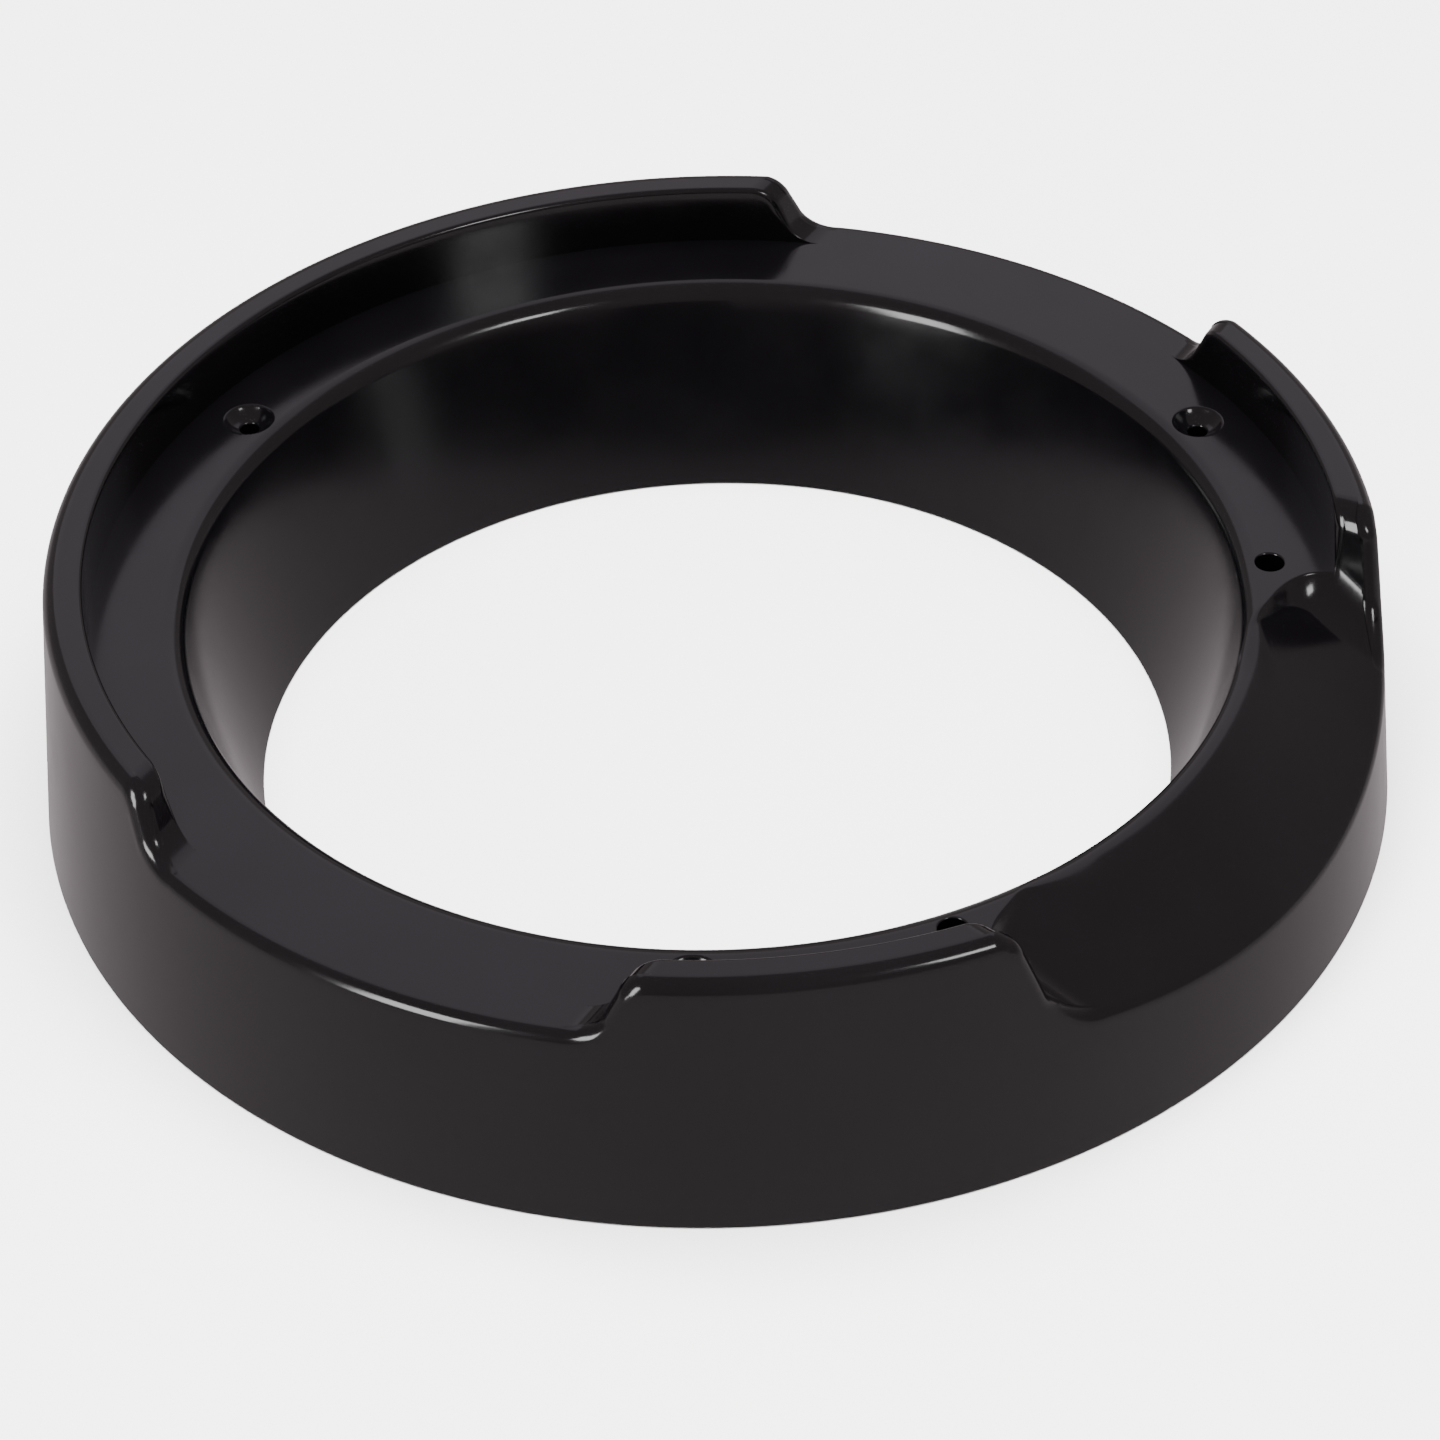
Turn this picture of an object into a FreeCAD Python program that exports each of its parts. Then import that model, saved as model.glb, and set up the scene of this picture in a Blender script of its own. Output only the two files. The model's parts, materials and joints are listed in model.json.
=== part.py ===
import FreeCAD, Part
import math
import os
import Sketcher

# A black moulded toilet flange collar: a hollow drafted ring with a flat deck, a conical throat,
# three raised lips on its rim and a scoop in front, with its floor gasket and the threaded
# inserts of its two bolt holes. Millimetres, +Z up. The origin is the centre of the base plane,
# and the scoop faces -Y.

SIZES = {
    "base_radius": 152.4,
    "wall_taper": 0.083,              # how far the outer wall leans in, per unit of height
    "deck_height": 47.6,
    "lip_height": 14.6,               # above the deck
    "lip_inner_radius": 138.6,
    "throat_base_radius": 103.5,
    "throat_taper": 0.312,            # how far the throat opens out, per unit of height
    "throat_round": 4.8,
    "rim_round": 3.8,
    "lip_crest_round": 1.2,
    "gap_half_width": 53.0,           # of each side gap between the lips, at the deck
    "gap_end_run": 6.4,               # how far a lip's end leans back over its height
    "gap_foot_round": 7.5,
    "gap_crest_round": 6.5,
    "gap_turn": 0.9,                  # degrees that the two gaps are turned about the centre
    "scoop_half_width": 75.4,         # up to the deck's height
    "scoop_end_run": 4.2,             # how far a lip's end leans back beside the scoop
    "scoop_crest_round": 5.0,
    "scoop_ridge_radius": 119.0,      # where the scoop's floor leaves the deck
    "scoop_edge_radius": 149.8,       # where the scoop's floor reaches the outer wall
    "scoop_edge_height": 27.6,        # there, at the middle of the scoop
    "scoop_edge_rise": 8.4,           # of that edge, from the middle of the scoop to its sides
    "scoop_ridge_round": 3.0,
    "scoop_edge_round": 3.0,
    "bolt_land_start": 52.0,          # sideways, where the land of a bolt hole bends the ridge
    "bolt_land_reach": 117.5,         # forwards, how far that land comes out beside the wall
    "shell_wall": 3.8,
    "deck_wall": 3.6,
    "scoop_hollow_angle": 76.0,       # degrees, of the lower hollow under the scoop
    "deck_hollow_angle": 277.0,       # degrees, of the full height hollow under the deck
    "web_width": 2.4,
    "web_clearance": 9.0,             # from the base plane up to the webs
    "web_count": 18,
    "screw_count": 3,
    "screw_circle_radius": 127.5,
    "screw_hole_radius": 2.2,
    "screw_dish_radius": 5.8,
    "screw_dish_depth": 3.2,
    "screw_dish_floor_radius": 3.4,
    "screw_boss_radius": 8.0,
    "bolt_offset": 71.2,              # of each bolt hole, sideways from the middle
    "bolt_setback": 102.3,            # of the bolt holes, forwards from the centre
    "bolt_hole_radius": 3.2,
    "bolt_boss_radius": 7.4,
    "bolt_boss_foot": 24.0,           # height of the lower end of the boss
    "insert_radius": 4.6,
    "insert_length": 12.0,
    "insert_thread_radius": 3.0,
    "insert_waist": 0.5,
    "gasket_width": 6.0,
}

doc = FreeCAD.newDocument("toilet_flange")
sheet = doc.addObject("Spreadsheet::Sheet", "sizes")
for row, (alias, value) in enumerate(SIZES.items(), start=1):
    sheet.set("A%d" % row, alias)
    sheet.set("B%d" % row, str(value))
    sheet.setAlias("B%d" % row, alias)
doc.recompute()

SIDES = (("left", "0 - "), ("right", ""))


def cells(formula):
    """The formula with every alias of the sheet written in full."""
    words = []
    for word in formula.replace("(", "( ").replace(")", " )").split():
        words.append("sizes." + word if word in SIZES else word)
    return " ".join(words)


def origin_feature(body, role):
    return next(item for item in body.Origin.OriginFeatures if item.Role == role)


def new_body(label):
    body = doc.addObject("PartDesign::Body", label)
    body.Label = label
    return body


def new_sketch(body, name, plane, offset=None):
    sketch = body.newObject("Sketcher::SketchObject", name)
    sketch.AttachmentSupport = (origin_feature(body, plane), [""])
    sketch.MapMode = "FlatFace"
    if offset is not None:
        sketch.setExpression("AttachmentOffset.Base.z", cells(offset))
    return sketch


def hold(sketch, kind, first, second, value, formula):
    """A dimension that follows a formula over the sheet."""
    index = sketch.addConstraint(Sketcher.Constraint(kind, *first, *second, value))
    sketch.setExpression("Constraints[%d]" % index, cells(formula))


def draw_outline(sketch, corners):
    """A closed outline. A corner is (across, up) or (across, up, alias of its rounding)."""
    count = len(corners)
    first = sketch.GeometryCount
    spots = []
    for index in range(count):
        turn = 2 * math.pi * index / count
        spots.append(FreeCAD.Vector(90 + 40 * math.cos(turn), 90 + 40 * math.sin(turn), 0))
    for index in range(count):
        sketch.addGeometry(Part.LineSegment(spots[index], spots[(index + 1) % count]))
    for index in range(count):
        after = first + (index + 1) % count
        sketch.addConstraint(Sketcher.Constraint("Coincident", first + index, 2, after, 1))
    for index, corner in enumerate(corners):
        start = (first + index, 1)
        hold(sketch, "DistanceX", (-1, 1), start, spots[index].x, corner[0])
        hold(sketch, "DistanceY", (-1, 1), start, spots[index].y, corner[1])
    doc.recompute()
    for index, corner in enumerate(corners):
        if len(corner) == 3:
            sketch.fillet(first + index, 1, SIZES[corner[2]], True, True)
            arc = next(
                number for number in reversed(range(sketch.GeometryCount))
                if isinstance(sketch.Geometry[number], Part.ArcOfCircle)
            )
            hold(sketch, "Radius", (arc,), (), SIZES[corner[2]], corner[2])
    doc.recompute()


def draw_circle(sketch, across, up, radius):
    """A circle whose centre and radius follow formulas over the sheet."""
    circle = sketch.addGeometry(Part.Circle(FreeCAD.Vector(9, 9, 0), FreeCAD.Vector(0, 0, 1), 3))
    hold(sketch, "DistanceX", (-1, 1), (circle, 3), 9, across)
    hold(sketch, "DistanceY", (-1, 1), (circle, 3), 9, up)
    hold(sketch, "Radius", (circle,), (), 3, radius)
    doc.recompute()


def drill(body, name, spot, foot, radius, height, top_radius=None):
    """Cut an upright cylinder, or a cone when it has a second radius at its top."""
    kind = "PartDesign::SubtractiveCylinder"
    sizes = [("Radius", radius)]
    if top_radius is not None:
        kind = "PartDesign::SubtractiveCone"
        sizes = [("Radius1", radius), ("Radius2", top_radius)]
    cutter = body.newObject(kind, name)
    cutter.AttachmentSupport = (origin_feature(body, "XY_Plane"), [""])
    cutter.MapMode = "FlatFace"
    sizes += [("Height", height), ("AttachmentOffset.Base.x", spot[0])]
    sizes += [("AttachmentOffset.Base.y", spot[1]), ("AttachmentOffset.Base.z", foot)]
    for cell, formula in sizes:
        cutter.setExpression(cell, cells(formula))
    doc.recompute()
    return cutter


def turn_sketch(body, kind, name, sketch, angle=None):
    """A revolution or a groove of a sketch, all the way or centred on the sketch's plane."""
    feature = body.newObject(kind, name)
    feature.Profile = sketch
    feature.ReferenceAxis = (sketch, ["V_Axis"])
    if angle is None:
        feature.Angle = 360
    else:
        feature.setExpression("Angle", cells(angle))
        feature.Midplane = True
    doc.recompute()
    return feature


def repeat_round(body, name, feature, count):
    pattern = body.newObject("PartDesign::PolarPattern", name)
    pattern.Originals = [feature]
    pattern.Axis = (origin_feature(body, "Z_Axis"), [""])
    pattern.Angle = 360
    pattern.setExpression("Occurrences", cells(count))
    body.Tip = pattern
    doc.recompute()
    return pattern


def round_edge(body, name, radius, wanted):
    """Round the edges of the body whose bounding box is the wanted one."""
    found = [
        "Edge%d" % (number + 1) for number, edge in enumerate(body.Shape.Edges)
        if wanted(edge.BoundBox)
    ]
    before = body.Tip
    rounding = body.newObject("PartDesign::Fillet", name)
    rounding.Base = (before, found)
    rounding.setExpression("Radius", cells(radius))
    doc.recompute()
    return rounding


def report_volume(body, name, before):
    after = body.Shape.Volume
    print("%-16s %12.1f" % (name, after - before))
    if abs(after - before) < 1:
        raise RuntimeError(name + " changed nothing")
    return after


WALL_TOP = "(base_radius - wall_taper * (deck_height + lip_height))"
WALL_DECK = "(base_radius - wall_taper * (deck_height - deck_wall))"
HOLLOW_TOP = "(deck_height - deck_wall)"

# The ring: skirt, deck, throat and a full circle of lip, turned in one piece.
flange = new_body("flange_body")
section = new_sketch(flange, "ring_section", "XZ_Plane")
draw_outline(section, [
    ("throat_base_radius", "0"),
    ("base_radius", "0"),
    (WALL_TOP, "deck_height + lip_height", "rim_round"),
    ("lip_inner_radius", "deck_height + lip_height", "lip_crest_round"),
    ("lip_inner_radius", "deck_height"),
    ("throat_base_radius + throat_taper * deck_height", "deck_height", "throat_round"),
])
turn_sketch(flange, "PartDesign::Revolution", "ring", section)
volume = report_volume(flange, "ring", 0)

# The two side gaps that part the lips, cut straight across with leaning, rounded ends.
gaps = new_sketch(flange, "gap_section", "YZ_Plane")
GAP_TOP = "deck_height + lip_height"
draw_outline(gaps, [
    ("0 - gap_half_width", "deck_height", "gap_foot_round"),
    ("gap_half_width", "deck_height", "gap_foot_round"),
    ("gap_half_width + gap_end_run", GAP_TOP, "gap_crest_round"),
    ("gap_half_width + gap_end_run * 3", GAP_TOP),
    ("gap_half_width + gap_end_run * 3", "deck_height + lip_height * 2"),
    ("0 - gap_half_width - gap_end_run * 3", "deck_height + lip_height * 2"),
    ("0 - gap_half_width - gap_end_run * 3", GAP_TOP),
    ("0 - gap_half_width - gap_end_run", GAP_TOP, "gap_crest_round"),
])
turned = FreeCAD.Rotation(FreeCAD.Vector(0, 1, 0), SIZES["gap_turn"])
gaps.AttachmentOffset = FreeCAD.Placement(FreeCAD.Vector(0, 0, 0), turned)
gap_cut = flange.newObject("PartDesign::Pocket", "side_gaps")
gap_cut.Profile = gaps
gap_cut.Midplane = True
gap_cut.setExpression("Length", cells("base_radius * 3"))
doc.recompute()
volume = report_volume(flange, "side_gaps", volume)

# The hollow underside, in two depths: full under the deck, lower under the scoop.
hollow = new_sketch(flange, "deck_hollow_section", "YZ_Plane")
draw_outline(hollow, [
    ("throat_base_radius + shell_wall", "0"),
    ("base_radius - shell_wall", "0"),
    (WALL_DECK + " - shell_wall", HOLLOW_TOP),
    ("throat_base_radius + shell_wall + throat_taper * " + HOLLOW_TOP, HOLLOW_TOP),
])
turn_sketch(flange, "PartDesign::Groove", "deck_hollow", hollow, "deck_hollow_angle")
volume = report_volume(flange, "deck_hollow", volume)

low = new_sketch(flange, "scoop_hollow_section", "YZ_Plane")
draw_outline(low, [
    ("0 - throat_base_radius - shell_wall", "0"),
    ("0 - base_radius + shell_wall", "0"),
    ("0 - base_radius + shell_wall + wall_taper * scoop_edge_height",
     "scoop_edge_height - shell_wall"),
    ("0 - scoop_ridge_radius", "deck_height - deck_wall * 1.5"),
])
turn_sketch(flange, "PartDesign::Groove", "scoop_hollow", low, "scoop_hollow_angle")
volume = report_volume(flange, "scoop_hollow", volume)

# The webs between skirt and throat.
web = new_sketch(flange, "web_section", "XZ_Plane")
draw_outline(web, [
    ("throat_base_radius + shell_wall / 2 + throat_taper * web_clearance", "web_clearance"),
    ("base_radius - shell_wall / 2 - wall_taper * web_clearance", "web_clearance"),
    (WALL_DECK + " - shell_wall / 2", HOLLOW_TOP + " + deck_wall / 2"),
    ("throat_base_radius + shell_wall / 2 + throat_taper * " + HOLLOW_TOP,
     HOLLOW_TOP + " + deck_wall / 2"),
])
web_pad = flange.newObject("PartDesign::Pad", "web")
web_pad.Profile = web
web_pad.Midplane = True
web_pad.setExpression("Length", cells("web_width"))
doc.recompute()
repeat_round(flange, "webs", web_pad, "web_count")
volume = report_volume(flange, "webs", volume)

# Bosses: one under each screw hole down to the floor, one under each bolt hole.
screw_boss = new_sketch(flange, "screw_boss_section", "XY_Plane")
draw_circle(screw_boss, "0", "screw_circle_radius", "screw_boss_radius")
screw_pad = flange.newObject("PartDesign::Pad", "screw_boss")
screw_pad.Profile = screw_boss
screw_pad.setExpression("Length", cells("deck_height - deck_wall / 2"))
doc.recompute()
repeat_round(flange, "screw_bosses", screw_pad, "screw_count")
volume = report_volume(flange, "screw_bosses", volume)

for side, sign in SIDES:
    bolt_boss = new_sketch(flange, "bolt_boss_section_" + side, "XY_Plane", "bolt_boss_foot")
    draw_circle(bolt_boss, sign + "bolt_offset", "0 - bolt_setback", "bolt_boss_radius")
    bolt_pad = flange.newObject("PartDesign::Pad", "bolt_boss_" + side)
    bolt_pad.Profile = bolt_boss
    bolt_pad.setExpression("Length", cells("deck_height - deck_wall / 2 - bolt_boss_foot"))
    doc.recompute()
    volume = report_volume(flange, "bolt_boss_" + side, volume)



def is_scoop_ridge(box):
    """Whether a box holds the long edge where the scoop leaves the deck."""
    high = box.ZMin > SIZES["deck_height"] - 2.5 and box.ZMax < SIZES["deck_height"] + 0.1
    return high and box.XLength > SIZES["scoop_ridge_radius"] * 0.8 and box.YMax < -100


def is_scoop_edge(box):
    """Whether a box holds the long edge where the scoop leaves the outer wall."""
    low = 20 < box.ZMin < SIZES["scoop_edge_height"] + 2
    return low and box.XLength > SIZES["scoop_half_width"] * 1.95 and box.YMin < -149


# The scoop: sections across its width, joined into one cut through lip, deck and wall.
RIDGE = "(scoop_ridge_radius ^ 2 - bolt_land_start ^ 2) ^ 0.5"
LAND = "bolt_land_reach"
STATIONS = [
    # part of the half width, ridge distance from the centre
    (-1.0, LAND),
    (-0.85, "(0.35 * " + RIDGE + " + 0.65 * " + LAND + ")"),
    (-0.69, RIDGE),
    (-0.35, "(scoop_ridge_radius ^ 2 - (scoop_half_width * 0.35) ^ 2) ^ 0.5"),
    (0.0, "scoop_ridge_radius"),
    (0.35, "(scoop_ridge_radius ^ 2 - (scoop_half_width * 0.35) ^ 2) ^ 0.5"),
    (0.69, RIDGE),
    (0.85, "(0.35 * " + RIDGE + " + 0.65 * " + LAND + ")"),
    (1.0, LAND),
]
sections = []
for number, (part, ridge) in enumerate(STATIONS):
    across = "scoop_half_width * %s" % abs(part)
    offset = across if part > 0 else "0 - " + across
    edge = "(scoop_edge_radius ^ 2 - (" + across + ") ^ 2) ^ 0.5"
    fall = "(deck_height - scoop_edge_height - scoop_edge_rise * %s)" % round(part ** 2, 4)
    steep = fall + " / (" + edge + " - " + ridge + ")"
    station = new_sketch(flange, "scoop_section_%d" % number, "YZ_Plane", offset)
    reach = "(base_radius * 1.1)"
    top = "deck_height + lip_height * 1.5"
    draw_outline(station, [
        ("0 - " + ridge, "deck_height"),
        ("0 - " + reach, "deck_height - (" + reach + " - " + ridge + ") * " + steep),
        ("0 - " + reach, top),
        ("0 - " + ridge, top),
    ])
    sections.append(station)
scoop = flange.newObject("PartDesign::SubtractiveLoft", "scoop")
scoop.Profile = sections[0]
scoop.Sections = sections[1:]
scoop.Ruled = False
doc.recompute()
volume = report_volume(flange, "scoop", volume)
round_edge(flange, "scoop_ridge_round", "scoop_ridge_round", is_scoop_ridge)
volume = report_volume(flange, "scoop_ridge", volume)
round_edge(flange, "scoop_lip_round", "scoop_edge_round", is_scoop_edge)
volume = report_volume(flange, "scoop_edge", volume)

# The lips' ends beside the scoop lean back too, above the deck.
ends = new_sketch(flange, "scoop_ends_section", "XZ_Plane")
draw_outline(ends, [
    ("0 - scoop_half_width", "deck_height"),
    ("scoop_half_width", "deck_height"),
    ("scoop_half_width + scoop_end_run", GAP_TOP, "scoop_crest_round"),
    ("scoop_half_width + scoop_end_run * 4", GAP_TOP),
    ("scoop_half_width + scoop_end_run * 4", "deck_height + lip_height * 2"),
    ("0 - scoop_half_width - scoop_end_run * 4", "deck_height + lip_height * 2"),
    ("0 - scoop_half_width - scoop_end_run * 4", GAP_TOP),
    ("0 - scoop_half_width - scoop_end_run", GAP_TOP, "scoop_crest_round"),
])
ends_cut = flange.newObject("PartDesign::Pocket", "scoop_ends")
ends_cut.Profile = ends
ends_cut.Reversed = True
ends_cut.setExpression("Length", cells("base_radius * 1.5"))
doc.recompute()
volume = report_volume(flange, "scoop_ends", volume)

# The three screw holes, each with a dished seat sunk in the deck.
for number in range(3):
    turn = "90 + 120 * %d" % number
    spot = ("screw_circle_radius * cos( " + turn + " )", "screw_circle_radius * sin( " + turn + " )")
    drill(flange, "screw_hole_%d" % number, spot, "0 - deck_wall", "screw_hole_radius",
          "deck_height + deck_wall")
    drill(flange, "screw_dish_%d" % number, spot, "deck_height - screw_dish_depth",
          "screw_dish_floor_radius", "screw_dish_depth", "screw_dish_radius")
volume = report_volume(flange, "screw_holes", volume)

# The plain bolt holes through the deck, wider below for the inserts.
for side, sign in SIDES:
    spot = (sign + "bolt_offset", "0 - bolt_setback")
    drill(flange, "bolt_hole_" + side, spot, "bolt_boss_foot", "bolt_hole_radius", "deck_height")
    drill(flange, "insert_seat_" + side, spot, "bolt_boss_foot - insert_length", "insert_radius",
          "insert_length * 2")
    volume = report_volume(flange, "bolt_hole_" + side, volume)

# The soft ring pushed over the foot of the throat wall, up against the webs.
gasket = new_body("base_gasket")
ring = new_sketch(gasket, "gasket_section", "XZ_Plane")
FOOT_HUG = "throat_base_radius + shell_wall"
HEAD_HUG = FOOT_HUG + " + throat_taper * web_clearance"
draw_outline(ring, [
    (FOOT_HUG, "0"),
    (HEAD_HUG + " + gasket_width", "0"),
    (HEAD_HUG + " + gasket_width", "web_clearance"),
    (HEAD_HUG, "web_clearance"),
])
turn_sketch(gasket, "PartDesign::Revolution", "gasket", ring)

# The threaded inserts under the bolt holes: a knurled-in sleeve with a waist, once per side.
inserts = []
for side, sign in SIDES:
    sleeve = doc.addObject("Part::Cylinder", "sleeve_" + side)
    waist = doc.addObject("Part::Torus", "waist_" + side)
    bore = doc.addObject("Part::Cylinder", "bore_" + side)
    sleeve.setExpression("Radius", cells("insert_radius"))
    sleeve.setExpression("Height", cells("insert_length"))
    bore.setExpression("Radius", cells("insert_thread_radius"))
    bore.setExpression("Height", cells("insert_length"))
    waist.setExpression("Radius1", cells("insert_radius + insert_waist"))
    waist.setExpression("Radius2", cells("insert_waist * 2"))
    for piece, height in ((sleeve, "0"), (bore, "0"), (waist, "insert_length / 2")):
        piece.setExpression("Placement.Base.x", cells(sign + "bolt_offset"))
        piece.setExpression("Placement.Base.y", cells("0 - bolt_setback"))
        piece.setExpression("Placement.Base.z", cells("bolt_boss_foot + " + height))
    solid = sleeve
    for number, cutter in enumerate((waist, bore)):
        cut = doc.addObject("Part::Cut", "insert_%s_%d" % (side, number))
        cut.Base = solid
        cut.Tool = cutter
        solid = cut
    inserts.append(solid)
bolt_inserts = doc.addObject("Part::Compound", "bolt_inserts")
bolt_inserts.Label = "bolt_inserts"
bolt_inserts.Links = inserts
doc.recompute()

NODES = {
    "flange_body": (flange, 1),
    "base_gasket": (gasket, 1),
    "bolt_inserts": (bolt_inserts, 2),
}
for item in doc.Objects:
    if "Invalid" in item.State or "Error" in item.State:
        raise RuntimeError(item.Name + " did not recompute")
os.makedirs("parts", exist_ok=True)
for node, (item, solids) in NODES.items():
    shape = item.Shape
    if shape.isNull() or not shape.isValid() or len(shape.Solids) != solids:
        raise RuntimeError(node + " is not sound")
    shape.exportStep("parts/%s.step" % node)
    box = shape.optimalBoundingBox()
    print("%-14s %7.1f x %7.1f x %6.1f  %d solid(s)" % (
        node, box.XLength, box.YLength, box.ZLength, len(shape.Solids)))
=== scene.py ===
import json
import math

import bmesh
import bpy
import numpy as np
from mathutils import Matrix, Vector

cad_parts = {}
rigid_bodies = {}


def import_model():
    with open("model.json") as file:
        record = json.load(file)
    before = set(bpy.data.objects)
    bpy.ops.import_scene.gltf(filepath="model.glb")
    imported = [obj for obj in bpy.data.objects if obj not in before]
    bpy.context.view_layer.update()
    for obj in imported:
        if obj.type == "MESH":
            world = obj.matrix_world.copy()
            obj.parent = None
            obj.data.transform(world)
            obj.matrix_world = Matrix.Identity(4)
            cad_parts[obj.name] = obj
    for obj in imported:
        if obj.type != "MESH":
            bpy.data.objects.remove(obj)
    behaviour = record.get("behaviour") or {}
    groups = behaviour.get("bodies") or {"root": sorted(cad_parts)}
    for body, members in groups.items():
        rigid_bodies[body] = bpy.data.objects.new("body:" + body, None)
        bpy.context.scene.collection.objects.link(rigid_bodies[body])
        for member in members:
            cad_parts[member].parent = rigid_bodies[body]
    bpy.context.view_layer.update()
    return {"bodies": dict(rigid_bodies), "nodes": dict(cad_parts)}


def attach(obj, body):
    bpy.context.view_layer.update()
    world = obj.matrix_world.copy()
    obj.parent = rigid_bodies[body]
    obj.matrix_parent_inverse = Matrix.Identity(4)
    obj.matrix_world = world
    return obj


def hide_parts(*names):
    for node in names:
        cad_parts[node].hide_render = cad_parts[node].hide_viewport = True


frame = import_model()
root = next(iter(frame["bodies"]))

# ---------------------------------------------------------------- sizes, in millimetres
DECK = 47.6                     # height of the deck
LIP_TOP = 62.2
LIP_IN = 138.6                  # radius of the lips' inner wall
BASE_R = 152.4
LEAN = 0.083                    # of the outer wall, inwards per unit of height
THROAT_R = 103.5
THROAT_LEAN = 0.312
THROAT_ROUND = 4.8
LIP_ROUND = 3.8                 # outer edge of the lips
EDGE_ROUND = 3.0                # outer edge of the deck and of the scoop
EDGE_MOST = 4.5                 # furthest that those outer roundings may reach
CREST_ROUND = 1.2               # inner edge of the lips
CREST_END_EXTRA = 1.8           # more of it at the lips' leaning ends
CREST_MOST = 3.5                # furthest that the inner rounding may reach
GAP_FOOT, GAP_TOP = 53.0, 59.4  # half widths of the side gaps, at the deck and at the lips' top
GAP_FOOT_ROUND, GAP_TOP_ROUND = 7.5, 6.5
GAP_TURN = 0.9                  # degrees that the side gaps are turned about the centre
GAP_TURN_FROM, GAP_TURN_OVER = 38, 15    # degrees from the scoop's middle where the turn sets in
SCOOP_HALF = 75.4               # half width of the scoop, at the height of the deck
SCOOP_RIDGE = 119.6             # radius of the ridge between the scoop and the throat
SCOOP_CORNER = 14.0             # size of the scoop's rounded corners, sideways and lengthways
SCOOP_CORNER_LONG = 9.5
SCOOP_END = 108.4               # setback of the straight edges between those and the ridge
SCOOP_EDGE_Z = 27.4             # height of the middle of its lower edge
SCOOP_EDGE_RISE = 8.4           # how much higher the ends of that edge are
SCOOP_WALL = 3.5                # steepness of its side walls
SCOOP_END_WALL = 0.9            # and of its wall next to the ridge
SCOOP_WALL_BOW = 0.06           # curvature that takes the walls below the floor
SCOOP_FOOT_ROUND = (12.0, 8.0)  # between its floor and its walls, at the corners and at the rim
SCOOP_TOP_ROUND = 5.0           # between its side walls and the lips' tops
RIDGE_ROUND = 5.0               # between its floor and the deck
RIDGE_SOFT, RIDGE_CRISP = 34, 58    # distances from the middle between which that rounding fades
CORNER_ROUND = 0.3              # between its side walls and the deck
SHELL = 3.8
DECK_SHELL = 3.6
SCREW_CIRCLE = 127.5
SCREW_HOLE = 2.2                # radii of the screw holes, their dishes and their bosses
SCREW_DISH, SCREW_DISH_DEPTH = 5.8, 3.2
SCREW_BOSS = 8.0
BOLT_SPOT = (71.2, -102.3)
BOLT_HOLE, BOLT_BOSS, BOLT_BOSS_FOOT = 3.2, 7.4, 24.0
INSERT_R, INSERT_TOP = 4.6, 36.0
WEB_COUNT, WEB_WIDTH, WEB_FOOT = 18, 2.4, 9.0


def wall_radius(z):
    return BASE_R - LEAN * z


def blend(first, second, steep_first, steep_second, radius, lower=True):
    """Height of two slopes joined at their lower (or upper) envelope by a rounding.

    Each slope comes with its steepness, so the rounding is measured square to both."""
    sign = 1.0 if lower else -1.0
    first_scale = 1 / np.sqrt(1 + steep_first ** 2)
    second_scale = 1 / np.sqrt(1 + steep_second ** 2)
    low = np.minimum(first, second) - 2 * radius if lower else np.minimum(first, second) - 0.01
    high = np.maximum(first, second) + 0.01 if lower else np.maximum(first, second) + 2 * radius
    for _ in range(34):
        mid = (low + high) / 2
        a = sign * (mid - first) * first_scale
        b = sign * (mid - second) * second_scale
        corner = np.hypot(np.clip(a + radius, 0, None), np.clip(b + radius, 0, None))
        outside = np.minimum(-radius, np.maximum(a, b)) + corner > 0
        too_high = outside if lower else ~outside
        high = np.where(too_high, mid, high)
        low = np.where(too_high, low, mid)
    return (low + high) / 2


def scoop_floor(x, y):
    """Height of the scoop's floor, a ruled slope from the ridge down to the outer wall."""
    across = np.minimum(np.abs(x), SCOOP_HALF + 6)
    ridge = -np.sqrt(SCOOP_RIDGE ** 2 - across ** 2)
    edge_z = SCOOP_EDGE_Z + SCOOP_EDGE_RISE * (across / SCOOP_HALF) ** 2
    edge = -np.sqrt(wall_radius(edge_z) ** 2 - across ** 2)
    slope = (DECK - edge_z) / (ridge - edge)
    return DECK - slope * (ridge - y), slope


def ease(value, start, end):
    """0 before start, 1 beyond end and a smooth change between them."""
    step = np.clip((value - start) / (end - start), 0, 1)
    return step ** 2 * (3 - 2 * step)


def scoop_wall(x, y):
    """Height and steepness of the scoop's wall, which is steep at the side and eases round its corner.

    Also gives how far round the corner each point is, from 0 at the side to 1 beyond it."""
    out = np.abs(x)
    beyond = (y + SCOOP_END) * SCOOP_CORNER / SCOOP_CORNER_LONG
    across, along = out - (SCOOP_HALF - SCOOP_CORNER), beyond + SCOOP_CORNER
    turn = np.arctan2(along, across)
    depth = np.where(turn < 0, SCOOP_HALF - out, SCOOP_CORNER - np.hypot(across, along))
    depth = np.where(across < 0, -beyond, depth)
    share = np.where(across < 0, 1.0, ease(turn, 0, math.pi / 2))
    steep = SCOOP_END_WALL + (SCOOP_WALL - SCOOP_END_WALL) * (1 - share)
    bow = SCOOP_WALL_BOW * np.clip(depth, 0, None) ** 2
    return DECK - steep * depth - bow, steep, share


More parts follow.
